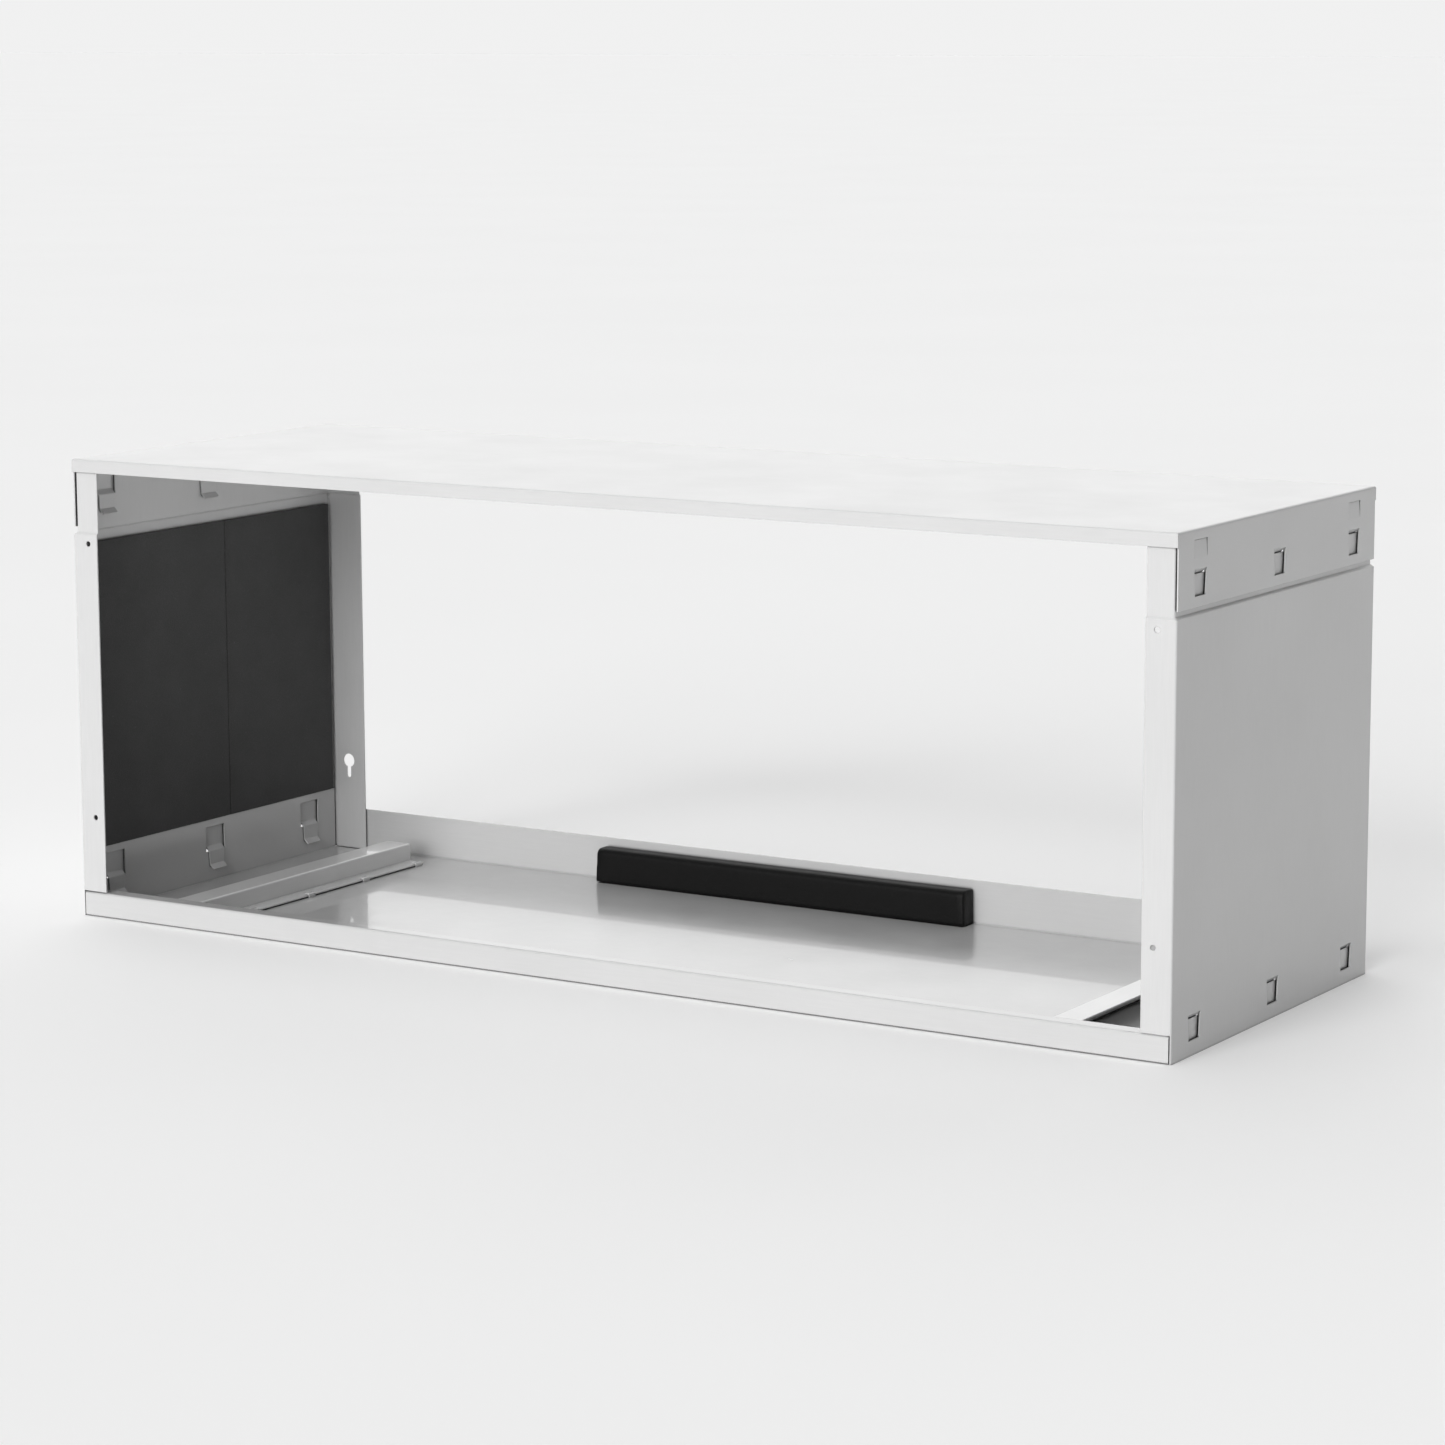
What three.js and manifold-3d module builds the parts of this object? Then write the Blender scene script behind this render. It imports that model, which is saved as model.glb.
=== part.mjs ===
// Knock-down wall sleeve for a through-the-wall air conditioner: a base pan, two side
// panels and a top, all bent from sheet steel, that hang together on lanced hooks.
// Millimetres, +Z up. The front (room side) faces -Y, and the origin is the middle of
// the footprint at the underside of the pan.

import * as THREE from "three";
import { mergeVertices } from "three/addons/utils/BufferGeometryUtils.js";
import Module from "manifold-3d";

const wasm = await Module();
wasm.setup();

// ---------- driving dimensions ----------

const width = 1066.8;
const height = 406.4;
const depth = 370;

const sheet = 1.2; // thickness of every steel part
const bendInside = 0.8; // inside radius of a bend
const bendFacets = 5; // in a right angle
const sidePlay = 1.3; // clear gap between a sheet and the sheet that it slips inside
const lipPlay = 0.6; // clear gap between the top's lips and the flanges behind them
const fitGap = 0.4; // least gap between touching parts
const through = 5; // how far a cutting solid runs past the sheet that it cuts

// base pan
const panLip = 22; // height of the front lip
const panReturn = 15; // depth of the flange turned back from the lip
const panSideUpstand = 58;
const panBackUpstand = 40;
const lipEndGap = 1.0; // between the lip's end and the side panel
const cornerRelief = 1.8; // between an upstand's end and the flange beside it

// side panels
const frontFlange = 26;
const backFlange = 38.5;
const joggleBelowSkirt = 6.3; // the joggle starts this far below the skirt's lower edge
const joggleRise = 2; // height over which the panel steps inwards
const flangeAboveLip = 0.9;
const screwHole = 4.8;
const screwFromEdge = 16.3; // from the panel's outer face
const lowerScrewHeight = 89.5;
const upperScrewBelowJoggle = 8;
const keyholeHead = 12.8;
const keyholeNeck = 4.8;
const keyholeFromEdge = 20.1;
const keyholeHeight = 86; // centre of the head
const keyholeDrop = 14; // from the head's centre to the neck's centre at its lower end

// top panel
const topSkirt = 59.6;
const topLip = 11.5;
const topSeat = 1.0; // between the top's underside and the side panels' upper edges

// hooks, the windows that they are lanced from, and the slots that they hang in
const hookWide = 22; // width at the root
const hookNarrow = 18.6; // width at the tip
const windowHeight = 21;
const windowNarrow = 18.8; // the window's width at its lower edge
const hookBody = 16.5; // from the window's top to the flare
const hookFlare = 4.2; // how far the lip flares inwards, at 45 degrees
const hookBend = 1.4; // centre-line radius of the hook's bends
const lowerHookTop = 33; // height of the lower windows' top edge
const upperHookBelowTop = 30.6; // from the top's surface to the upper windows' top edge
const frontHookInset = 40; // hook centre from the front face
const rearHookInset = 43; // hook centre from the panels' rear face
const slotSide = 2.6; // slot's clearance on each side of a hook
const slotAbove = 1.0; // slot's clearance above a lifted hook
const lift = 17.5; // travel that frees a hook from its slot

// half-lanced stop tabs above the front and rear upper windows
const tabWide = 23;
const tabHeight = 14;
const tabBelowTop = 8.4;
const tabCut = 0.4; // shear gap round the tab

// chassis rails
const railInner = 420; // web's face from the centre line
const railTopFlange = 26;
const railFoot = 15;
const railHeight = 17.4;
const railGap = 1.2; // under the rail's foot, which only its clips hold
const railFrontGap = 3; // between the lip's return and the rail's near end
const railBackGap = 35; // between the rail's far end and the pan's rear face
const clipCount = 4;
const firstClip = 62; // from the rail's near end
const lastClip = 9; // from the rail's far end
const clipLength = 9;
const clipGrip = 3; // how far a clip reaches over the rail's foot

// foam
const padThick = 4;
const padBelowJoggle = 9;
const padInset = 6; // from the side panel's front and rear faces
const frontPadDeep = 198; // to the seam between the two pads
const barLength = 384;
const barDeep = 19;
const barHigh = 31;
const barCentre = -29;

// ---------- places worked out from them ----------

const bendStep = Math.PI / 2 / bendFacets;
const side = width / 2;
const front = -depth / 2;
const back = depth / 2;
const panelBack = back - sheet - sidePlay;
const joggleIn = sheet + sidePlay;
const joggleAlong = sheet + lipPlay;
const skirtEdge = height - topSkirt;
const joggleStart = skirtEdge - joggleBelowSkirt;
const sideTop = height - sheet - topSeat;
const panSide = side - sheet - sidePlay;
const upperHookTop = height - upperHookBelowTop;
const frontHook = front + frontHookInset;
const rearHook = panelBack - rearHookInset;
const hookPlaces = [frontHook, (frontHook + rearHook) / 2, rearHook];
const flangeFoot = panLip + flangeAboveLip;
const railBottom = sheet + railGap;
const railNear = front + panReturn + railFrontGap;
const railFar = back - railBackGap;
const padSeam = front + padInset + frontPadDeep;
const tabLean = sidePlay - fitGap; // a tab's free edge leans in until it all but touches

// ---------- solids ----------

// A three.js geometry as a solid that can be cut and joined.
function solid(geometry) {
  const bare = geometry.clone();
  bare.deleteAttribute("normal");
  bare.deleteAttribute("uv");
  const merged = mergeVertices(bare, 1e-4);
  return new wasm.Manifold(
    new wasm.Mesh({
      numProp: 3,
      vertProperties: merged.attributes.position.array,
      triVerts: new Uint32Array(merged.index.array),
    }),
  );
}

// A cut or joined solid as a geometry for its mesh.
function geometryOf(body) {
  const { vertProperties, triVerts } = body.getMesh();
  const geometry = new THREE.BufferGeometry();
  geometry.setAttribute("position", new THREE.BufferAttribute(vertProperties, 3));
  geometry.setIndex(new THREE.BufferAttribute(triVerts, 1));
  geometry.computeVertexNormals();
  return geometry;
}

function joined(bodies) {
  return bodies.reduce((whole, body) => whole.add(body));
}

function cut(body, tools) {
  return tools.reduce((rest, tool) => rest.subtract(tool), body);
}

function block(low, high) {
  const size = high.map((value, i) => value - low[i]);
  const box = new THREE.BoxGeometry(...size);
  box.translate(...low.map((value, i) => value + size[i] / 2));
  return solid(box);
}

// An outline extruded along one axis, from one place on it to another. The outline's
// points are [y, z] for an X extrusion, [x, z] for Y and [x, y] for Z.
function prism(outline, axis, from, to) {
  const shape = new THREE.Shape(outline.map(([u, v]) => new THREE.Vector2(u, v)));
  const bar = new THREE.ExtrudeGeometry(shape, { depth: to - from, bevelEnabled: false });
  const X = new THREE.Vector3(1, 0, 0);
  const Y = new THREE.Vector3(0, 1, 0);
  const Z = new THREE.Vector3(0, 0, 1);
  const turn = new THREE.Matrix4();
  if (axis === "x") turn.makeBasis(Y, Z, X).setPosition(from, 0, 0);
  if (axis === "y") turn.makeBasis(X, Z, Y.negate()).setPosition(0, to, 0);
  if (axis === "z") turn.setPosition(0, 0, from);
  return solid(bar.applyMatrix4(turn));
}

// A solid between equal-count outlines at rising heights: [{ z, outline }, ...].
function lofted(levels) {
  const count = levels[0].outline.length;
  const positions = levels.flatMap(({ z, outline }) => outline.flatMap(([x, y]) => [x, y, z]));
  const faces = [];
  for (let level = 0; level + 1 < levels.length; level++) {
    for (let i = 0; i < count; i++) {
      const a = level * count + i;
      const b = level * count + ((i + 1) % count);
      faces.push(a, b, b + count, a, b + count, a + count);
    }
  }
  const points = levels[0].outline.map(([x, y]) => new THREE.Vector2(x, y));
  const last = (levels.length - 1) * count;
  for (const [a, b, c] of THREE.ShapeUtils.triangulateShape(points, [])) {
    faces.push(c, b, a, a + last, b + last, c + last);
  }
  const geometry = new THREE.BufferGeometry();
  geometry.setAttribute("position", new THREE.Float32BufferAttribute(positions, 3));
  geometry.setIndex(faces);
  return solid(geometry);
}

// The outline of bent sheet whose centre line runs through the corners given, with an
// arc at each bend. It runs counter-clockwise when the path turns to the left.
function bentSheet(corners, bend = bendInside + sheet / 2) {
  const path = corners.map(([u, v]) => new THREE.Vector2(u, v));
  const leftSide = [];
  const rightSide = [];
  const put = (point, normal) => {
    leftSide.push([point.x + (normal.x * sheet) / 2, point.y + (normal.y * sheet) / 2]);
    rightSide.push([point.x - (normal.x * sheet) / 2, point.y - (normal.y * sheet) / 2]);
  };
  const along = (i) => path[i + 1].clone().sub(path[i]).normalize();
  const leftOf = (way) => new THREE.Vector2(-way.y, way.x);
  put(path[0], leftOf(along(0)));
  for (let i = 1; i + 1 < path.length; i++) {
    const wayIn = along(i - 1);
    const wayOut = along(i);
    const turn = Math.atan2(wayIn.cross(wayOut), wayIn.dot(wayOut));
    const hand = Math.sign(turn);
    const tangent = bend * Math.tan(Math.abs(turn) / 2);
    const steps = Math.max(1, Math.round(Math.abs(turn) / bendStep));
    const start = path[i].clone().addScaledVector(wayIn, -tangent);
    const centre = start.addScaledVector(leftOf(wayIn), hand * bend);
    for (let k = 0; k <= steps; k++) {
      const normal = leftOf(wayIn).rotateAround(new THREE.Vector2(), (turn * k) / steps);
      put(centre.clone().addScaledVector(normal, -hand * bend), normal);
    }
  }
  put(path[path.length - 1], leftOf(along(path.length - 2)));
  return [...rightSide, ...leftSide.reverse()];
}

// ---------- hooks, windows and slots, all on the +X side ----------

// The tapered outline of a window or hook seen along X, hanging from its top edge.
function taper(middle, top, high, wide, narrow) {
  return [
    [middle - wide / 2, top],
    [middle - narrow / 2, top - high],
    [middle + narrow / 2, top - high],
    [middle + wide / 2, top],
  ];
}

function windowCut(middle, top) {
  const outline = taper(middle, top, windowHeight, hookWide, windowNarrow);
  return prism(outline, "x", side - sheet - bendInside, side + through);
}

// A hook: it leaves the sheet at its window's top edge, slopes inwards through the slot
// of the sheet behind, hangs down inside it and flares at the tip.
function hook(middle, top) {
  const root = side - sheet / 2;
  const body = side - sheet - sidePlay - sheet - fitGap - sheet / 2;
  const slope = root - body;
  const profile = bentSheet(
    [
      [root, top + sheet],
      [root, top],
      [body, top - slope],
      [body, top - hookBody],
      [body - hookFlare, top - hookBody - hookFlare],
    ],
    hookBend,
  );
  const strip = prism(profile, "y", middle - hookWide / 2, middle + hookWide / 2);
  const reach = hookBody + hookFlare + sheet;
  const sides = taper(middle, top, reach, hookWide, hookNarrow);
  const rootBlock = block(
    [root - sheet, middle - hookWide / 2, top - fitGap],
    [side, middle + hookWide / 2, top + sheet],
  );
  const hanging = strip.intersect(prism(sides, "x", body - 2 * hookFlare, side));
  return hanging.add(strip.intersect(rootBlock));
}

// The slot in the sheet behind: its lower edge carries the hook's sloping neck, and it
// is tall enough for the hook to be lifted clear.
function slotCut(middle, top) {
  const neckDrop = sidePlay + sheet + sheet / 2 + (sheet / 2) * Math.SQRT2;
  const half = hookWide / 2 + slotSide;
  return block(
    [panSide - sheet - through, middle - half, top - neckDrop - fitGap],
    [panSide + through, middle + half, top + lift + slotAbove],
  );
}

// ---------- parts ----------

function basePan() {
  const middle = sheet / 2;
  const wall = panSide - sheet / 2;
  const trough = prism(
    bentSheet([
      [-wall, panSideUpstand],
      [-wall, middle],
      [wall, middle],
      [wall, panSideUpstand],
    ]),
    "y",
    front + sheet + joggleAlong,
    panelBack - sheet - cornerRelief,
  );
  const lipHalf = side - sheet - lipEndGap;
  const lip = prism(
    bentSheet([
      [front + panReturn, panLip - middle],
      [front + middle, panLip - middle],
      [front + middle, middle],
      [front + 2 * panReturn, middle],
    ]),
    "x",
    -lipHalf,
    lipHalf,
  );
  // The lip overhangs the floor's sides, and its return stops short of the upstands.
  const trims = [-1, 1].flatMap((hand) => {
    const beside = (from, to, lowZ, highZ, startY) => {
      const [low, high] = hand < 0 ? [-to, -from] : [from, to];
      return block([low, startY, lowZ], [high, front + 3 * panReturn, highZ]);
    };
    const behindLip = front + sheet + fitGap;
    const returnEnd = panSide - sheet - fitGap;
    return [
      beside(panSide, side, -through, panLip + through, behindLip),
      beside(returnEnd, side, sheet + fitGap, panLip + through, behindLip),
    ];
  });
  const rear = prism(
    bentSheet([
      [back - 2 * panReturn, middle],
      [back - middle, middle],
      [back - middle, panBackUpstand],
    ]),
    "x",
    -panSide,
    panSide,
  );
  const slots = hookPlaces.flatMap((place) => {
    const slot = slotCut(place, lowerHookTop);
    return [slot, slot.mirror([1, 0, 0])];
  });
  const walls = cut(trough, slots);
  return joined([walls, cut(lip, trims), rear, ...railClips()]);
}

// Small clips raised from the pan's floor that hold the rails' feet down.
function railClips() {
  const edge = railInner - railFoot;
  const rise = edge - fitGap - sheet / 2;
  const top = railBottom + sheet + fitGap + sheet / 2;
  const profile = bentSheet([
    [edge + clipGrip, top],
    [rise, top],
    [rise, sheet / 2],
  ]);
  const clips = [];
  for (let n = 0; n < clipCount; n++) {
    const share = n / (clipCount - 1);
    const middle = THREE.MathUtils.lerp(railNear + firstClip, railFar - lastClip, share);
    const clip = prism(profile, "y", middle - clipLength / 2, middle + clipLength / 2);
    clips.push(clip, clip.mirror([1, 0, 0]));
  }
  return clips;
}

// The right side panel: a web with a flange at the front and the back. Its upper part
// steps inwards, so that the top's skirt and lips fit over it and finish flush.
function sidePanel() {
  const outline = (outer, nearFace, farFace) =>
    bentSheet([
      [side - frontFlange, nearFace + sheet / 2],
      [outer - sheet / 2, nearFace + sheet / 2],
      [outer - sheet / 2, farFace - sheet / 2],
      [side - backFlange, farFace - sheet / 2],
    ]);
  const lower = outline(side, front, panelBack);
  const upper = outline(side - joggleIn, front + joggleAlong, panelBack - joggleAlong);
  const shell = lofted([
    { z: 0, outline: lower },
    { z: joggleStart, outline: lower },
    { z: joggleStart + joggleRise, outline: upper },
    { z: sideTop, outline: upper },
  ]);
  const flangeEnds = [
    block(
      [side - frontFlange - through, front - through, -through],
      [side - sheet, front + sheet + bendInside, flangeFoot],
    ),
    block(
      [side - backFlange - through, panelBack - sheet - bendInside, -through],
      [side - sheet, panelBack + through, sheet + fitGap],
    ),
  ];
  const windows = hookPlaces.map((place) => windowCut(place, lowerHookTop));
  const slots = hookPlaces.map((place) => slotCut(place, upperHookTop));
  const holes = [lowerScrewHeight, joggleStart - upperScrewBelowJoggle].map((level) =>
    roundHole(side - screwFromEdge, front, level, screwHole),
  );
  const hooks = hookPlaces.map((place) => hook(place, lowerHookTop));
  const bare = cut(shell, [...flangeEnds, ...windows, ...slots, ...holes, keyhole()]);
  return joined([bare, ...hooks]);
}

function roundHole(x, y, z, size) {
  const drill = new THREE.CylinderGeometry(size / 2, size / 2, 2 * through, 32);
  drill.translate(x, y, z);
  return solid(drill);
}

function keyhole() {
  const x = side - keyholeFromEdge;
  const face = panelBack;
  const neck = block(
    [x - keyholeNeck / 2, face - through, keyholeHeight - keyholeDrop],
    [x + keyholeNeck / 2, face + through, keyholeHeight],
  );
  return joined([
    roundHole(x, face, keyholeHeight, keyholeHead),
    neck,
    roundHole(x, face, keyholeHeight - keyholeDrop, keyholeNeck),
  ]);
}

// The top: a sheet with a deep skirt down each side and a short lip front and back.
// It is hollowed from a block with rounded upper edges, so its corners are closed.
function topPanel() {
  const skin = roundedBlock(0, bendInside + sheet);
  const hollow = roundedBlock(sheet, bendInside);
  const lipEdge = height - topLip;
  const belowLips = [
    [front - through, front + joggleAlong],
    [panelBack - joggleAlong, panelBack + through],
  ].map(([near, far]) =>
    block([-side - through, near, skirtEdge - through], [side + through, far, lipEdge]),
  );
  const tabPlaces = [frontHook, rearHook];
  const openings = [
    ...hookPlaces.map((place) => windowCut(place, upperHookTop)),
    ...tabPlaces.map((place) => tabWindow(place)),
  ];
  const additions = [
    ...hookPlaces.map((place) => hook(place, upperHookTop)),
    ...tabPlaces.map((place) => stopTab(place)),
  ];
  const both = (list) => list.flatMap((body) => [body, body.mirror([1, 0, 0])]);
  const cover = cut(skin, [hollow, ...belowLips, ...both(openings)]);
  return joined([cover, ...both(additions)]);
}

// The space that the top covers, taken in by an inset on its sides and top, with its
// upper edges rounded. An inset block runs down past the skirts' lower edges.
function roundedBlock(inset, radius) {
  const foot = inset > 0 ? skirtEdge - through : skirtEdge;
  const top = height - inset;
  const arch = (low, high) => {
    const round = (centre, from) =>
      Array.from({ length: bendFacets + 1 }, (_, k) => {
        const angle = from + k * bendStep;
        return [centre + radius * Math.cos(angle), top - radius + radius * Math.sin(angle)];
      });
    return [
      [low, foot],
      [high, foot],
      ...round(high - radius, 0),
      ...round(low + radius, Math.PI / 2),
    ];
  };
  const across = arch(inset - side, side - inset);
  const alongside = arch(front + inset, panelBack - inset);
  return prism(across, "y", front + inset, panelBack - inset).intersect(
    prism(alongside, "x", inset - side, side - inset),
  );
}

function tabWindow(middle) {
  const top = height - tabBelowTop;
  return block(
    [side - sheet - bendInside, middle - tabWide / 2, top - tabHeight],
    [side + through, middle + tabWide / 2, top],
  );
}

function stopTab(middle) {
  const top = height - tabBelowTop - tabCut;
  const foot = height - tabBelowTop - tabHeight;
  const root = side - sheet / 2;
  const half = tabWide / 2 - tabCut;
  const profile = bentSheet([
    [root, foot - sheet],
    [root, foot],
    [root - tabLean, top],
  ]);
  return prism(profile, "y", middle - half, middle + half);
}

// A rail the chassis slides on: a Z section, its top flange turned towards the wall.
function rail() {
  const web = railInner + sheet / 2;
  const profile = bentSheet([
    [railInner - railFoot, railBottom + sheet / 2],
    [web, railBottom + sheet / 2],
    [web, railBottom + railHeight - sheet / 2],
    [railInner + railTopFlange, railBottom + railHeight - sheet / 2],
  ]);
  return prism(profile, "y", railNear, railFar);
}

function foamPad(from, to) {
  const outer = side - sheet - fitGap;
  return block(
    [outer - padThick, from, panSideUpstand + fitGap],
    [outer, to, joggleStart - padBelowJoggle],
  );
}

function foamBar() {
  const rear = back - sheet - fitGap;
  return block(
    [barCentre - barLength / 2, rear - barDeep, sheet + fitGap],
    [barCentre + barLength / 2, rear, sheet + fitGap + barHigh],
  );
}

// ---------- materials and the assembly ----------

function coatedSteel() {
  return new THREE.MeshStandardMaterial({ color: 0xdadada, roughness: 0.3, metalness: 0.35 });
}

function blackFoam(shade) {
  return new THREE.MeshStandardMaterial({ color: shade, roughness: 0.9, metalness: 0 });
}

const sleeve = new THREE.Group();

function place(name, body, material, mirrored = false) {
  const mesh = new THREE.Mesh(geometryOf(body), material);
  mesh.name = name;
  if (mirrored) mesh.scale.x = -1;
  sleeve.add(mesh);
}

place("base_pan", basePan(), coatedSteel());
place("rear_foam_bar", foamBar(), blackFoam(0x1c1c1c));
place("top_panel", topPanel(), coatedSteel());

const sidePieces = [
  ["side_panel", sidePanel(), coatedSteel],
  ["rail", rail(), coatedSteel],
  ["front_foam_pad", foamPad(front + padInset, padSeam - fitGap / 2), () => blackFoam(0x333333)],
  ["rear_foam_pad", foamPad(padSeam + fitGap / 2, panelBack - padInset), () => blackFoam(0x333333)],
];
for (const [name, body, material] of sidePieces) {
  place("right_" + name, body, material());
  place("left_" + name, body, material(), true);
}

export default sleeve;
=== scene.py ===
"""Wall sleeve for a through-the-wall air conditioner: its finishes, its foam and a studio.

The steel parts come ready made in the frame. This script coats them, cuts and glues in
the foam, and stands the sleeve on a studio floor. Metres, +Z up, the room side faces -Y.
"""

import math

import bmesh
import bpy
from bpy.props import FloatProperty, FloatVectorProperty, PointerProperty
from mathutils import Matrix, Vector, noise


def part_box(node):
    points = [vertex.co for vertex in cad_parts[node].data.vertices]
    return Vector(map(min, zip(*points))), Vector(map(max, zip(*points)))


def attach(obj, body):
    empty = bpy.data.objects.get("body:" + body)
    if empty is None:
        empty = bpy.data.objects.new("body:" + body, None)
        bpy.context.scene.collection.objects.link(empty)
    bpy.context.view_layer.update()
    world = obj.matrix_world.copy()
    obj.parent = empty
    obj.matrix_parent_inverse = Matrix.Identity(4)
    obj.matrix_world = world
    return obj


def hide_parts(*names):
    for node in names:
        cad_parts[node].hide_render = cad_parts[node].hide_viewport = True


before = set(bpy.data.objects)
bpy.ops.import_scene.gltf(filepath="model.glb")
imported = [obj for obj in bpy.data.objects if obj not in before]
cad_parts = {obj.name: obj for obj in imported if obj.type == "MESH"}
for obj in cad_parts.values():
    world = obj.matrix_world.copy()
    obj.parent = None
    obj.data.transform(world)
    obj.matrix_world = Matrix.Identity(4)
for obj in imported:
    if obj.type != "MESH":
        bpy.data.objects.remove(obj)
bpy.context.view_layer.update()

bl_info = {
    "name": "Air Conditioner Wall Sleeve",
    "version": (1, 0, 0),
    "blender": (4, 5, 0),
    "location": "View3D > Sidebar > Wall Sleeve",
    "description": "Coats a sheet steel wall sleeve, glues in its foam and lights it",
    "category": "Object",
}

PANELS = ("top_panel", "left_side_panel", "right_side_panel")
RAILS = ("left_rail", "right_rail")
PADS = {
    "left_front_foam_pad": "left_side",
    "left_rear_foam_pad": "left_side",
    "right_front_foam_pad": "right_side",
    "right_rear_foam_pad": "right_side",
}


# ---------------------------------------------------------------------------
# sizes and colours that a user would change
# ---------------------------------------------------------------------------


class SleeveSteel(bpy.types.PropertyGroup):
    """The coat on the sleeve's steel."""

    panel_colour: FloatVectorProperty(
        name="Panel coat", description="Coat of the top and the two sides",
        subtype="COLOR", size=3, min=0, max=1, default=(0.59, 0.59, 0.59),
    )
    pan_colour: FloatVectorProperty(
        name="Pan coat", description="Coat of the base pan",
        subtype="COLOR", size=3, min=0, max=1, default=(0.59, 0.59, 0.59),
    )
    rail_colour: FloatVectorProperty(
        name="Rail coat", description="Coat of the two chassis rails",
        subtype="COLOR", size=3, min=0, max=1, default=(0.72, 0.72, 0.72),
    )
    panel_roughness: FloatProperty(
        name="Panel roughness", description="How matt the panels' coat is",
        subtype="FACTOR", min=0, max=1, default=0.34,
    )
    pan_roughness: FloatProperty(
        name="Pan roughness", description="How matt the pan's colour coat is",
        subtype="FACTOR", min=0, max=1, default=0.22,
    )
    edge_radius: FloatProperty(
        name="Edge radius", description="How far the coat rounds over a sheared edge",
        unit="LENGTH", subtype="DISTANCE", min=0, max=0.003, default=0.0006,
    )


class SleeveFoam(bpy.types.PropertyGroup):
    """The foam sheets on the side walls and the foam bar at the rear."""

    pad_colour: FloatVectorProperty(
        name="Pad colour", description="Colour of the foam sheets on the side walls",
        subtype="COLOR", size=3, min=0, max=1, default=(0.052, 0.052, 0.052),
    )
    bar_colour: FloatVectorProperty(
        name="Bar colour", description="Colour of the foam bar",
        subtype="COLOR", size=3, min=0, max=1, default=(0.003, 0.003, 0.003),
    )
    pad_edge: FloatProperty(
        name="Pad edge", description="Radius left by the knife along a pad's edges",
        unit="LENGTH", subtype="DISTANCE", min=0.0002, max=0.0018, default=0.0009,
    )
    pad_wave: FloatProperty(
        name="Pad wave", description="How unevenly a pad lies on its wall",
        unit="LENGTH", subtype="DISTANCE", min=0, max=0.001, default=0.0003,
    )
    bar_nose: FloatProperty(
        name="Bar nose", description="Radius of the bar's upper front edge",
        unit="LENGTH", subtype="DISTANCE", min=0.001, max=0.009, default=0.0055,
    )
    bar_edge: FloatProperty(
        name="Bar edge", description="Radius of the bar's other edges",
        unit="LENGTH", subtype="DISTANCE", min=0.0005, max=0.005, default=0.0018,
    )


class SleeveStudio(bpy.types.PropertyGroup):
    """Floor, lamps and camera."""

    floor_colour: FloatVectorProperty(
        name="Floor", description="Colour of the studio floor",
        subtype="COLOR", size=3, min=0, max=1, default=(0.86, 0.86, 0.86),
    )
    floor_glow: FloatProperty(
        name="Floor glow", description="How brightly the floor shines of itself, as a lit table",
        min=0, default=0.12,
    )
    fill: FloatProperty(
        name="Room light", description="Strength of the even light from all round",
        min=0, default=0.10,
    )
    wall: FloatProperty(
        name="Lit wall", description="Strength of the bright wall behind, to the left",
        min=0, default=1.22,
    )
    overhead: FloatProperty(
        name="Overhead light", description="Strength of the soft light above",
        min=0, default=1.00,
    )
    front: FloatProperty(
        name="Front light", description="Strength of the soft light in front",
        min=0, default=2.60,
    )
    backdrop: FloatProperty(
        name="Backdrop", description="Brightness of the backdrop above the floor's far edge",
        min=0, default=0.877,
    )
    lens: FloatProperty(
        name="Lens", description="Focal length on a 36 mm frame",
        unit="CAMERA", min=20, max=300, default=107.05,
    )
    azimuth: FloatProperty(
        name="Azimuth", description="How far the camera stands round to the right",
        subtype="ANGLE", unit="ROTATION", default=math.radians(31.904),
    )
    elevation: FloatProperty(
        name="Elevation", description="How steeply the camera looks down",
        subtype="ANGLE", unit="ROTATION", default=math.radians(9.445),
    )
    roll: FloatProperty(
        name="Roll", description="How far the camera leans about its own line of sight",
        subtype="ANGLE", unit="ROTATION", default=math.radians(0.204),
    )
    distance: FloatProperty(
        name="Distance", description="From the camera to the point that it looks at",
        unit="LENGTH", subtype="DISTANCE", min=0.5, default=3.6905,
    )
    aim: FloatVectorProperty(
        name="Aim", description="The point that the camera looks at",
        unit="LENGTH", subtype="TRANSLATION", size=3, default=(-0.0028, 0.0353, 0.1867),
    )


# ---------------------------------------------------------------------------
# materials
# ---------------------------------------------------------------------------

# How fine the sheet's rolling marks are along X, Y and Z: coarse the way it was rolled.
ROLLED_SIDEWAYS = (0.6, 14, 14)
ROLLED_BACKWARDS = (14, 0.6, 14)
ROLLED_UPWARDS = (14, 14, 0.6)

GAP_REACH = 0.0032  # how near another surface must be for the painted shade to darken the gap between
EDGE_PALER = 1.30  # how much paler the coat is painted along its edges, as a highlight
EDGE_PALEST = 0.95  # and no paler than this
PEEL_DEPTH = 0.00005  # of the coat's orange peel
MARK_DEPTH = 0.00006  # of the rolling marks
CELL_DEPTH = 0.00025  # of the foam's burst cells
CRUMB_DEPTH = 0.0002  # of the grain between them
WELD_GAP = 0.00001  # vertices nearer than this are one
CRISP_ANGLE = math.radians(24)  # a fold sharper than this stays an edge


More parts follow.
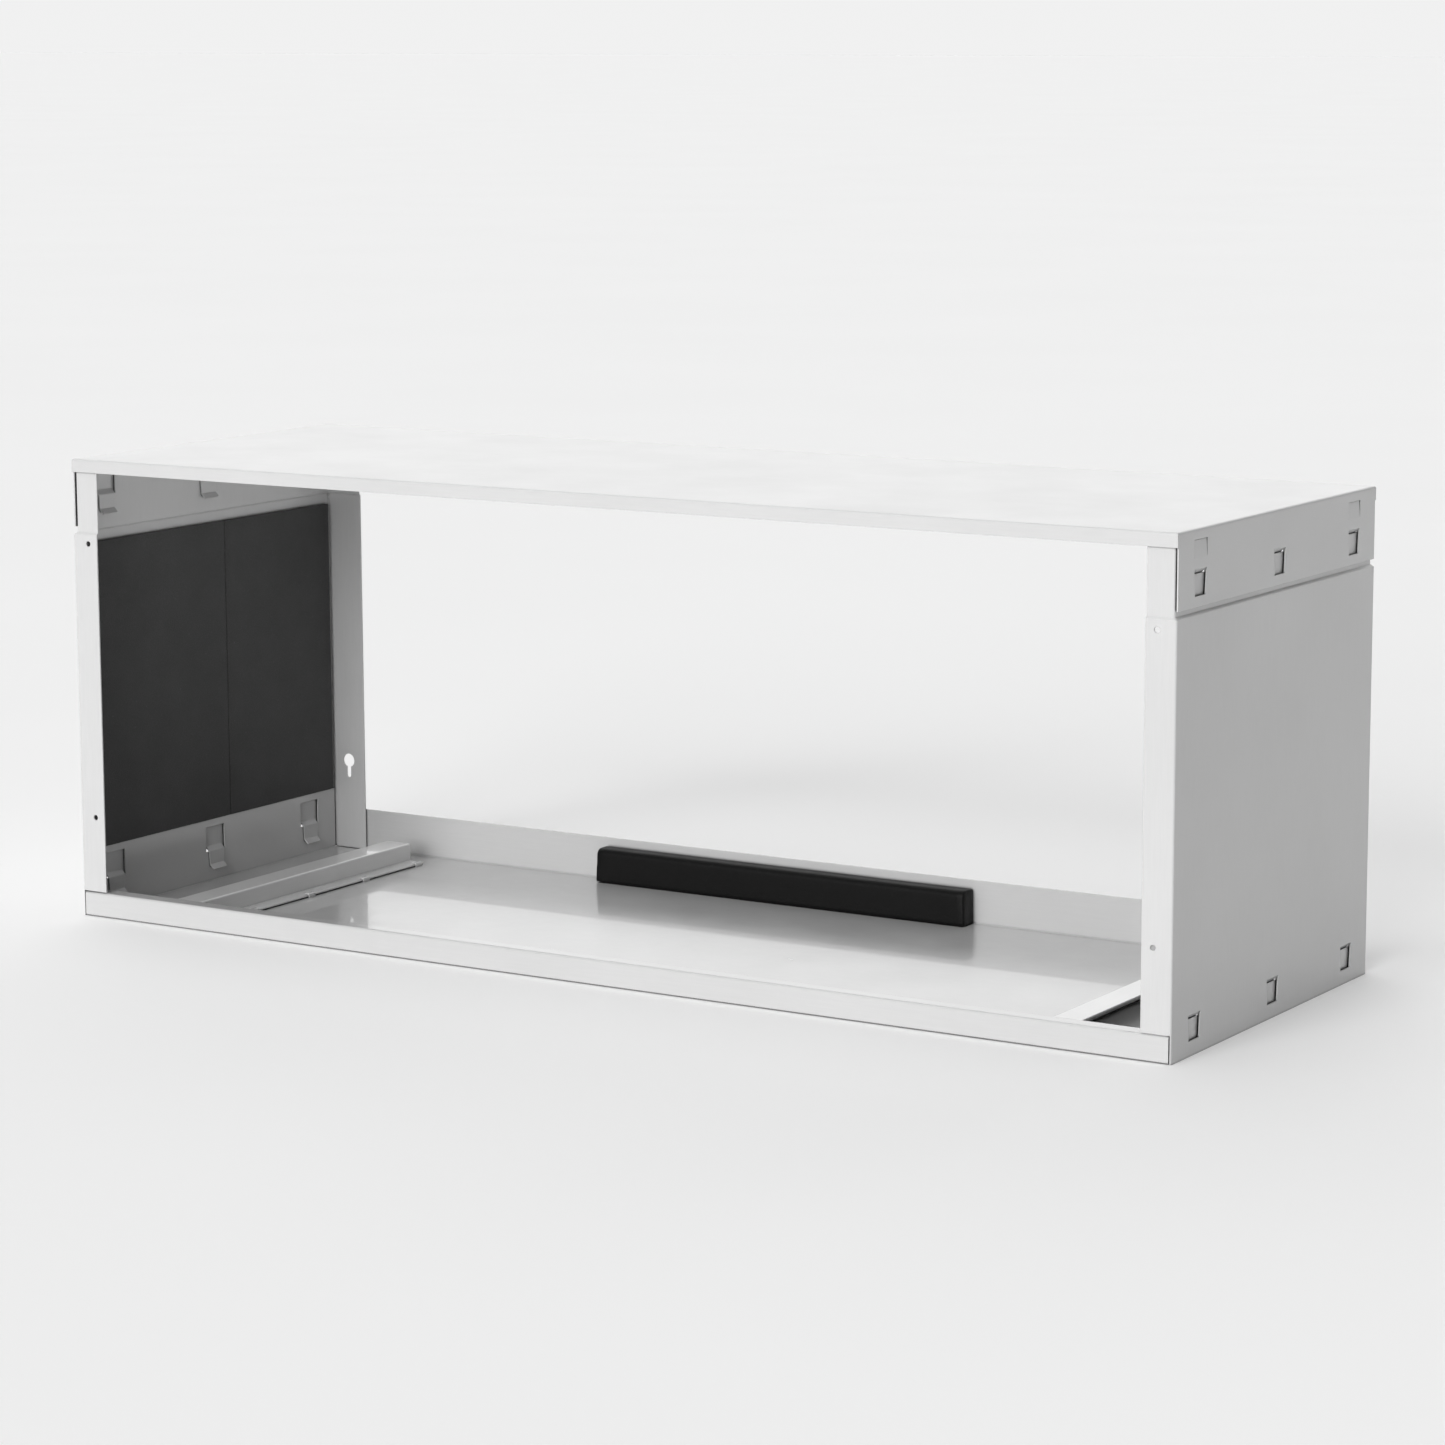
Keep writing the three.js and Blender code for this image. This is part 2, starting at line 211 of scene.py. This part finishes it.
class Finish:
    """A material's node tree, built one node at a time."""

    def __init__(self, name):
        self.material = bpy.data.materials.new(name)
        self.material.use_nodes = True
        self.tree = self.material.node_tree
        self.shader = self.tree.nodes["Principled BSDF"]
        self.place = self.node("ShaderNodeTexCoord").outputs["Object"]

    def node(self, kind, inputs=(), **settings):
        """A node with its settings, and its inputs linked to sockets or set to values."""
        made = self.tree.nodes.new(kind)
        for key, value in settings.items():
            setattr(made, key, value)
        for key, value in dict(inputs).items():
            if isinstance(value, bpy.types.NodeSocket):
                self.tree.links.new(value, made.inputs[key])
            else:
                made.inputs[key].default_value = value
        return made

    def set(self, **values):
        """Sockets of the shader, by name with _ for a space."""
        for key, value in values.items():
            socket = self.shader.inputs[key.replace("_", " ")]
            if isinstance(value, bpy.types.NodeSocket):
                self.tree.links.new(value, socket)
            else:
                socket.default_value = value

    def stretched(self, scale):
        """Object coordinates with their axes scaled apart."""
        return self.node("ShaderNodeMapping", {"Vector": self.place, "Scale": scale}).outputs[0]

    def noise(self, scale, detail=2.0, rough=0.5, vector=None):
        """Cloudy noise from 0 to 1, finer with a larger scale."""
        return self.node(
            "ShaderNodeTexNoise",
            {"Vector": vector or self.place, "Scale": scale, "Detail": detail, "Roughness": rough},
        ).outputs["Fac"]

    def cells(self, scale):
        """Distance from the middle of the nearest cell."""
        return self.node(
            "ShaderNodeTexVoronoi", {"Vector": self.place, "Scale": scale}
        ).outputs["Distance"]

    def remap(self, value, span, to):
        """A value carried from one span of numbers to another, and held at its ends."""
        inputs = {"Value": value, "From Min": span[0], "From Max": span[1]}
        inputs.update({"To Min": to[0], "To Max": to[1]})
        return self.node("ShaderNodeMapRange", inputs).outputs["Result"]

    def times(self, a, b):
        """The product of two sockets."""
        return self.node("ShaderNodeMath", {0: a, 1: b}, operation="MULTIPLY").outputs[0]

    def shade(self, colour, factor):
        """The colour made darker or lighter by a factor that changes over the surface."""
        return self.node(
            "ShaderNodeVectorMath", {0: tuple(colour), "Scale": factor}, operation="SCALE"
        ).outputs[0]

    def mix(self, factor, a, b):
        """Colour a where the factor is 0, and colour b where it is 1."""
        made = self.node("ShaderNodeMix", {"Factor": factor}, data_type="RGBA")
        for socket, value in ((made.inputs[6], a), (made.inputs[7], b)):
            if isinstance(value, bpy.types.NodeSocket):
                self.tree.links.new(value, socket)
            else:
                socket.default_value = (*value, 1)
        return made.outputs[2]

    def bump(self, height, distance, strength, normal=None):
        """A surface direction tilted by a height, on top of another if one is given."""
        inputs = {"Height": height, "Distance": distance, "Strength": strength}
        if normal:
            inputs["Normal"] = normal
        return self.node("ShaderNodeBump", inputs).outputs[0]


def coated_steel(name, colour, roughness, edge_radius, grain, coat, coat_roughness, metal):
    """Pale stoved coat on rolled sheet: orange peel, faint rolling marks along grain,
    handling marks that change the gloss, painted shade in tight gaps and painted highlights along
    edges."""
    f = Finish(name)
    rounded = f.node("ShaderNodeBevel", {"Radius": edge_radius}, samples=4).outputs[0]
    flat = f.node("ShaderNodeNewGeometry").outputs["Normal"]
    alike = f.node("ShaderNodeVectorMath", {0: rounded, 1: flat}, operation="DOT_PRODUCT")
    # painted highlight: the coat is painted paler along its edges, in patches set by noise
    at_edge = f.remap(alike.outputs["Value"], (0.995, 0.86), (0, 1))
    broken = f.remap(f.noise(scale=180, detail=3), (0.42, 0.62), (0.25, 1))
    painted_edge_highlight = f.times(at_edge, broken)

    cloud = f.remap(f.noise(scale=5.5, detail=3), (0.3, 0.7), (0.975, 1.02))
    marks = f.noise(scale=60, vector=f.stretched(grain))
    # painted shade: ambient occlusion darkens the coat in tight gaps and inside corners
    crevice = f.node("ShaderNodeAmbientOcclusion", {"Distance": GAP_REACH}, samples=8)
    dust_and_gap_shade = f.remap(crevice.outputs["AO"], (0.26, 0.80), (0.05, 1))
    tone = f.times(cloud, f.remap(marks, (0.3, 0.7), (0.985, 1.012)))
    body = f.shade(colour, f.times(tone, dust_and_gap_shade))
    # the paler colour of the painted edge highlight
    bright = tuple(min(EDGE_PALEST, c * EDGE_PALER) for c in colour)
    smudge = f.remap(f.noise(scale=14, detail=5, rough=0.62), (0.35, 0.72), (-0.035, 0.055))
    gloss = f.node("ShaderNodeMath", {0: smudge, 1: roughness}, operation="ADD").outputs[0]
    peel = f.bump(f.noise(scale=620), PEEL_DEPTH, strength=0.30, normal=rounded)
    rolled = f.bump(marks, MARK_DEPTH, strength=0.22, normal=peel)

    f.set(
        Base_Color=f.mix(painted_edge_highlight, body, bright),
        Roughness=gloss,
        Normal=rolled,
        Metallic=metal,
        IOR=1.5,
        Coat_Weight=coat,
        Coat_Roughness=coat_roughness,
        Coat_Normal=rounded,
    )
    return f.material


def cut_foam(name, colour, roughness, cell, sheen, shine):
    """Closed cell foam: fine burst cells, slow changes of tone and a little dust."""
    f = Finish(name)
    cells = f.cells(cell)
    crumbs = f.noise(scale=cell * 0.55, detail=4, rough=0.6)
    patches = f.remap(f.noise(scale=9, detail=4), (0.3, 0.7), (0.90, 1.10))
    tone = f.times(f.remap(cells, (0, 0.75), (0.84, 1.16)), patches)
    dust_and_gap_shade = f.remap(f.noise(scale=430), (0.68, 0.78), (0, 0.35))
    dusty = tuple(min(1.0, c * 2.6 + 0.02) for c in colour)
    pitted = f.bump(cells, CELL_DEPTH, strength=0.55)
    rub = (roughness - 0.05, roughness + 0.05)
    f.set(
        Base_Color=f.mix(dust_and_gap_shade, f.shade(colour, tone), dusty),
        Roughness=f.remap(f.noise(scale=30, detail=3), (0.3, 0.7), rub),
        Normal=f.bump(crumbs, CRUMB_DEPTH, strength=0.45, normal=pitted),
        Specular_IOR_Level=shine,
        Sheen_Weight=sheen,
        Sheen_Roughness=0.5,
    )
    return f.material


def pale_floor(name, colour, glow):
    """Matt pale floor, a little uneven in tone, that shines faintly of itself."""
    f = Finish(name)
    f.set(
        Base_Color=f.shade(colour, f.remap(f.noise(scale=1.3), (0.3, 0.7), (0.985, 1))),
        Roughness=0.9,
        Specular_IOR_Level=0.1,
        Emission_Color=(1, 1, 1, 1),
        Emission_Strength=glow,
    )
    return f.material


def wear(node, material):
    """Puts one material on a whole object."""
    node.data.materials.clear()
    node.data.materials.append(material)


def smooth_bends():
    """A modifier group that shades bends smooth and keeps sheared edges and folds crisp."""
    group = bpy.data.node_groups.new("Smooth bends", "GeometryNodeTree")
    group.interface.new_socket("Geometry", in_out="INPUT", socket_type="NodeSocketGeometry")
    group.interface.new_socket("Geometry", in_out="OUTPUT", socket_type="NodeSocketGeometry")
    nodes, links = group.nodes, group.links
    start, end = nodes.new("NodeGroupInput"), nodes.new("NodeGroupOutput")
    merge = nodes.new("GeometryNodeMergeByDistance")
    merge.inputs["Distance"].default_value = WELD_GAP
    smooth = nodes.new("GeometryNodeSetShadeSmooth")
    smooth.inputs["Shade Smooth"].default_value = True
    crisp = nodes.new("GeometryNodeSetShadeSmooth")
    crisp.domain = "EDGE"
    crisp.inputs["Shade Smooth"].default_value = False
    angle = nodes.new("GeometryNodeInputMeshEdgeAngle")
    sharp = nodes.new("FunctionNodeCompare")
    sharp.operation = "GREATER_THAN"
    sharp.inputs[1].default_value = CRISP_ANGLE
    links.new(start.outputs[0], merge.inputs["Geometry"])
    links.new(merge.outputs["Geometry"], smooth.inputs["Geometry"])
    links.new(smooth.outputs["Geometry"], crisp.inputs["Geometry"])
    links.new(angle.outputs["Unsigned Angle"], sharp.inputs[0])
    links.new(sharp.outputs["Result"], crisp.inputs["Selection"])
    links.new(crisp.outputs["Geometry"], end.inputs[0])
    return group


def finish_sheet(names, material):
    """Coats steel parts and shades their bends."""
    group = bpy.data.node_groups.get("Smooth bends") or smooth_bends()
    for name in names:
        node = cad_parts[name]
        wear(node, material)
        node.modifiers.new("Smooth bends", "NODES").node_group = group
        weighted = node.modifiers.new("Flat faces", "WEIGHTED_NORMAL")
        weighted.keep_sharp = True


# ---------------------------------------------------------------------------
# foam shapes
# ---------------------------------------------------------------------------

EDGE_TURNS = (0.0, 0.35, 0.7, 1.0)  # where rows fall across a rounded edge

PAD_CELL = 0.008  # between the rows of a pad's skin
PAD_WAVES = (3, 11, 11)  # to the metre, along X, Y and Z
PINCH_REACH = 0.004  # how far in from its edges a pad is pressed down
PINCH = 0.9  # how deep the press is, as a share of the pad's wave

BAR_CELLS = (0.006, 0.003, 0.003)  # between the rows of the bar's skin, along X, Y and Z
BAR_END = 0.7  # radius of the bar's end edges, as a share of its other edges'
BAR_RIPPLE = 0.00045  # unevenness of the bar's front
RIPPLE_WAVES = (16, 20)  # to the metre, along X and Z
BAR_LEAN = 0.0009  # how far the front leans back at the top
BAR_SAG = 0.0005  # unevenness of the bar's top
SAG_WAVES = 9  # to the metre, along X
FRONT_ROW, TOP_ROW = 0.3, 4.2  # rows of the noise, far enough apart to look unrelated
BAR_PINCH = 0.0006  # how far the ends draw in at the top
BAR_TIP = 0.05  # share of the bar's length at each end that draws in


def stations(low, high, radius, cell):
    """Places along one axis: close rows over each rounded edge, even ones between."""
    tight = [radius * (1 - math.tan(math.pi / 4 * (1 - t))) for t in EDGE_TURNS]
    steps = max(1, round((high - low - 2 * radius) / cell))
    inner = [low + radius + (high - low - 2 * radius) * i / steps for i in range(1, steps)]
    return [low + t for t in tight] + inner + [high - t for t in reversed(tight)]


def block_skin(mesh, rows):
    """The closed skin of a block as quads, with its vertices at the given rows."""
    corners = {}

    def vertex(index):
        if index not in corners:
            corners[index] = mesh.verts.new([rows[a][i] for a, i in enumerate(index)])
        return corners[index]

    for axis in range(3):
        u, v = (axis + 1) % 3, (axis + 2) % 3
        for end in (0, len(rows[axis]) - 1):
            for i in range(len(rows[u]) - 1):
                for j in range(len(rows[v]) - 1):
                    ring = [(i, j), (i + 1, j), (i + 1, j + 1), (i, j + 1)]
                    if end == 0:
                        ring.reverse()
                    face = []
                    for a, b in ring:
                        index = [0, 0, 0]
                        index[axis], index[u], index[v] = end, a, b
                        face.append(vertex(tuple(index)))
                    mesh.faces.new(face)


def rounded(point, low, high, radii):
    """A point of the block's skin drawn in so that the edges have the given radii."""
    inner = Vector(
        min(max(p, a + r), b - r) for p, a, b, r in zip(point, low, high, radii)
    )
    out = Vector((p - q) / r for p, q, r in zip(point, inner, radii))
    out.normalize()
    return inner + Vector(o * r for o, r in zip(out, radii))


def foam_object(name, rows, shape, material, body, node):
    """A foam piece in place of its plain node."""
    mesh = bmesh.new()
    block_skin(mesh, rows)
    for v in mesh.verts:
        v.co = shape(v.co)
    data = bpy.data.meshes.new(name)
    mesh.to_mesh(data)
    mesh.free()
    data.shade_smooth()
    piece = bpy.data.objects.new(name, data)
    bpy.context.scene.collection.objects.link(piece)
    wear(piece, material)
    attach(piece, body)
    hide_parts(node)


# ---------------------------------------------------------------------------
# studio
# ---------------------------------------------------------------------------

FLOOR_REACH = 60.0  # half the floor's side
FLOOR_SQUARES = 24
LAMP_AWAY = 4  # how far off a lamp is drawn; its light is the same at any distance
OVERHEAD_SHINES = (0.15, 0.2, -1)
OVERHEAD_SPREAD = math.radians(70)
FRONT_SHINES = (0, 1, -0.35)
FRONT_SPREAD = math.radians(40)
WALL_DIRECTION = (-0.5, 0.84, 0.2)
WALL_EDGE = (0.55, 0.86)  # cosines off that direction where the wall starts and is full
FRAME_WIDTH = 36  # of the camera's sensor, in millimetres
SEEN_FROM, SEEN_TO = 0.05, 100  # nearest and furthest that the camera sees


def soft_light(name, direction, spread, strength):
    """A wide soft light that shines along a direction and reaches the whole floor alike."""
    data = bpy.data.lights.new(name, "SUN")
    data.energy = strength
    data.angle = spread
    made = bpy.data.objects.new(name, data)
    made.location = -Vector(direction) * LAMP_AWAY
    made.rotation_mode = "QUATERNION"
    made.rotation_quaternion = Vector(direction).to_track_quat("-Z", "Y")
    bpy.context.scene.collection.objects.link(made)


def studio_room(fill, wall, backdrop):
    """An even pale room with a brighter wall behind the sleeve, to the left."""
    world = bpy.data.worlds.new("Studio")
    world.use_nodes = True
    nodes, links = world.node_tree.nodes, world.node_tree.links
    place = nodes.new("ShaderNodeTexCoord")
    toward = nodes.new("ShaderNodeVectorMath")
    toward.operation = "DOT_PRODUCT"
    toward.inputs[1].default_value = Vector(WALL_DIRECTION).normalized()
    lit = nodes.new("ShaderNodeMapRange")
    lit.interpolation_type = "SMOOTHSTEP"
    lit.inputs["From Min"].default_value = WALL_EDGE[0]
    lit.inputs["From Max"].default_value = WALL_EDGE[1]
    lit.inputs["To Min"].default_value = fill
    lit.inputs["To Max"].default_value = fill + wall
    links.new(place.outputs["Generated"], toward.inputs[0])
    links.new(toward.outputs["Value"], lit.inputs["Value"])
    nodes["Background"].inputs["Color"].default_value = (1, 1, 1, 1)
    seen = nodes.new("ShaderNodeLightPath")
    pale = nodes.new("ShaderNodeMix")
    pale.inputs["B"].default_value = backdrop
    links.new(seen.outputs["Is Camera Ray"], pale.inputs["Factor"])
    links.new(lit.outputs["Result"], pale.inputs["A"])
    links.new(pale.outputs["Result"], nodes["Background"].inputs["Strength"])
    return world


# ---------------------------------------------------------------------------
# operators
# ---------------------------------------------------------------------------


class SLEEVE_OT_coat_panels(bpy.types.Operator):
    """Coat the top and the two side panels"""

    bl_idname = "sleeve.coat_panels"
    bl_label = "Coat the panels"

    def execute(self, context):
        steel = context.scene.sleeve_steel
        for name in PANELS:
            grain = ROLLED_SIDEWAYS if name == "top_panel" else ROLLED_UPWARDS
            material = coated_steel(
                name.capitalize().replace("_", " ") + " coat", steel.panel_colour,
                steel.panel_roughness, steel.edge_radius, grain,
                coat=0.35, coat_roughness=0.12, metal=0.04,
            )
            finish_sheet([name], material)
        return {"FINISHED"}


class SLEEVE_OT_coat_pan(bpy.types.Operator):
    """Coat the base pan, which has the glossiest coat"""

    bl_idname = "sleeve.coat_pan"
    bl_label = "Coat the base pan"

    def execute(self, context):
        steel = context.scene.sleeve_steel
        material = coated_steel(
            "Pan coat", steel.pan_colour, steel.pan_roughness, steel.edge_radius,
            ROLLED_SIDEWAYS, coat=0.55, coat_roughness=0.035, metal=0.10,
        )
        finish_sheet(["base_pan"], material)
        return {"FINISHED"}


class SLEEVE_OT_coat_rails(bpy.types.Operator):
    """Coat the two chassis rails"""

    bl_idname = "sleeve.coat_rails"
    bl_label = "Coat the rails"

    def execute(self, context):
        steel = context.scene.sleeve_steel
        material = coated_steel(
            "Rail coat", steel.rail_colour, steel.panel_roughness, steel.edge_radius,
            ROLLED_BACKWARDS, coat=0.8, coat_roughness=0.06, metal=0.15,
        )
        finish_sheet(RAILS, material)
        return {"FINISHED"}


class SLEEVE_OT_glue_pads(bpy.types.Operator):
    """Cut the four foam pads and glue them on the side walls"""

    bl_idname = "sleeve.glue_pads"
    bl_label = "Glue in the side pads"

    def execute(self, context):
        foam = context.scene.sleeve_foam
        material = cut_foam(
            "Pad foam", foam.pad_colour, roughness=0.80, cell=950, sheen=0.10, shine=0.35
        )
        for node, body in PADS.items():
            low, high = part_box(node)
            middle = (low + high) / 2
            inward = -1 if middle.x > 0 else 1
            radii = [foam.pad_edge] * 3
            rows = [stations(low[a], high[a], radii[a], PAD_CELL) for a in range(3)]

            def shape(co, low=low, high=high, middle=middle, inward=inward, radii=radii):
                out = rounded(co, low, high, radii)
                if (out.x - middle.x) * inward > 0:  # only the face that shows
                    lift = noise.noise(Vector(c * n for c, n in zip(out, PAD_WAVES)))
                    edge = min(out.y - low.y, high.y - out.y, out.z - low.z, high.z - out.z)
                    pinch = math.exp(-edge / PINCH_REACH)
                    out.x -= inward * foam.pad_wave * (0.5 - 0.5 * lift + PINCH * pinch)
                return out

            foam_object(
                node.replace("_foam", "") + "_cut", rows, shape, material,
                body, node,
            )
        return {"FINISHED"}


class SLEEVE_OT_glue_bar(bpy.types.Operator):
    """Mould the foam bar and glue it to the pan's rear upstand"""

    bl_idname = "sleeve.glue_bar"
    bl_label = "Glue in the rear bar"

    def execute(self, context):
        foam = context.scene.sleeve_foam
        low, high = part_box("rear_foam_bar")
        middle = (low + high) / 2
        size = high - low
        nose, edge = foam.bar_nose, foam.bar_edge
        end = edge * BAR_END
        widest = (end, nose, nose)
        rows = [stations(low[a], high[a], widest[a], BAR_CELLS[a]) for a in range(3)]

        def shape(co):
            upper_front = co.y < middle.y and co.z > middle.z
            radii = widest if upper_front else (end, edge, edge)
            out = rounded(co, low, high, radii)
            along = (out.x - middle.x) / size.x
            up = (out.z - low.z) / size.z
            if out.y < middle.y:
                spot = (out.x * RIPPLE_WAVES[0], FRONT_ROW, out.z * RIPPLE_WAVES[1])
                ripple = noise.noise(Vector(spot))
                out.y += BAR_RIPPLE * (0.5 + 0.5 * ripple) + BAR_LEAN * up
            sag = 0.5 + 0.5 * noise.noise(Vector((out.x * SAG_WAVES, TOP_ROW, 0)))
            out.z -= BAR_SAG * up * sag
            tip = max(0.0, abs(along) - (0.5 - BAR_TIP)) / BAR_TIP
            out.x -= math.copysign(BAR_PINCH * up * tip, along)
            return out

        material = cut_foam(
            "Bar foam", foam.bar_colour, roughness=0.50, cell=700, sheen=0.03, shine=0.14
        )
        foam_object(
            "rear_bar_moulded", rows, shape, material, "pan",
            "rear_foam_bar",
        )
        return {"FINISHED"}


class SLEEVE_OT_set_stage(bpy.types.Operator):
    """Lay the floor, hang the lamps and set up the camera"""

    bl_idname = "sleeve.set_stage"
    bl_label = "Set the stage"

    def execute(self, context):
        studio = context.scene.sleeve_studio
        self.lay_floor(studio)
        self.hang_lamps(studio)
        self.set_camera(context.scene, studio)
        return {"FINISHED"}

    def lay_floor(self, studio):
        mesh = bmesh.new()
        bmesh.ops.create_grid(
            mesh, x_segments=FLOOR_SQUARES, y_segments=FLOOR_SQUARES, size=FLOOR_REACH
        )
        data = bpy.data.meshes.new("studio_floor")
        mesh.to_mesh(data)
        mesh.free()
        floor = bpy.data.objects.new("studio_floor", data)
        bpy.context.scene.collection.objects.link(floor)
        wear(floor, pale_floor("Studio floor", studio.floor_colour, studio.floor_glow))

    def hang_lamps(self, studio):
        bpy.context.scene.world = studio_room(studio.fill, studio.wall, studio.backdrop)
        soft_light("Overhead light", OVERHEAD_SHINES, OVERHEAD_SPREAD, studio.overhead)
        soft_light("Front light", FRONT_SHINES, FRONT_SPREAD, studio.front)

    def set_camera(self, scene, studio):
        a, e, roll = studio.azimuth, studio.elevation, studio.roll
        ahead = Vector((-math.sin(a) * math.cos(e), math.cos(a) * math.cos(e), -math.sin(e)))
        across = Vector((math.cos(a), math.sin(a), 0))
        up = across.cross(ahead)
        turned = across * math.cos(roll) - up * math.sin(roll)
        stood = up * math.cos(roll) + across * math.sin(roll)
        data = bpy.data.cameras.new("Camera")
        data.sensor_width = FRAME_WIDTH
        data.lens = studio.lens
        data.clip_start, data.clip_end = SEEN_FROM, SEEN_TO
        camera = bpy.data.objects.new("Camera", data)
        turn = Matrix((turned, stood, -ahead)).transposed().to_4x4()
        stand = Matrix.Translation(Vector(studio.aim) - ahead * studio.distance)
        camera.matrix_world = stand @ turn
        scene.collection.objects.link(camera)
        scene.camera = camera
        scene.view_settings.view_transform = "Standard"


class SLEEVE_PT_panel(bpy.types.Panel):
    """The sleeve's making, in order"""

    bl_idname = "SLEEVE_PT_panel"
    bl_label = "Wall Sleeve"
    bl_space_type = "VIEW_3D"
    bl_region_type = "UI"
    bl_category = "Wall Sleeve"

    def draw(self, context):
        for title, group, operators in STEPS:
            box = self.layout.box()
            box.label(text=title)
            settings = getattr(context.scene, group)
            for name in settings.__annotations__:
                box.prop(settings, name)
            for operator in operators:
                box.operator(operator.bl_idname)


STEPS = (
    ("Steel", "sleeve_steel", (SLEEVE_OT_coat_panels, SLEEVE_OT_coat_pan, SLEEVE_OT_coat_rails)),
    ("Foam", "sleeve_foam", (SLEEVE_OT_glue_pads, SLEEVE_OT_glue_bar)),
    ("Studio", "sleeve_studio", (SLEEVE_OT_set_stage,)),
)
GROUPS = {"sleeve_steel": SleeveSteel, "sleeve_foam": SleeveFoam, "sleeve_studio": SleeveStudio}


def classes():
    operators = [o for _title, _group, operators in STEPS for o in operators]
    return [*GROUPS.values(), *operators, SLEEVE_PT_panel]


def register():
    for made in classes():
        bpy.utils.register_class(made)
    for name, group in GROUPS.items():
        setattr(bpy.types.Scene, name, PointerProperty(type=group))


def unregister():
    for name in GROUPS:
        delattr(bpy.types.Scene, name)
    for made in reversed(classes()):
        bpy.utils.unregister_class(made)


def main():
    register()
    bpy.ops.sleeve.coat_panels()
    bpy.ops.sleeve.coat_pan()
    bpy.ops.sleeve.coat_rails()
    bpy.ops.sleeve.glue_pads()
    bpy.ops.sleeve.glue_bar()
    bpy.ops.sleeve.set_stage()


if __name__ == "__main__":
    main()
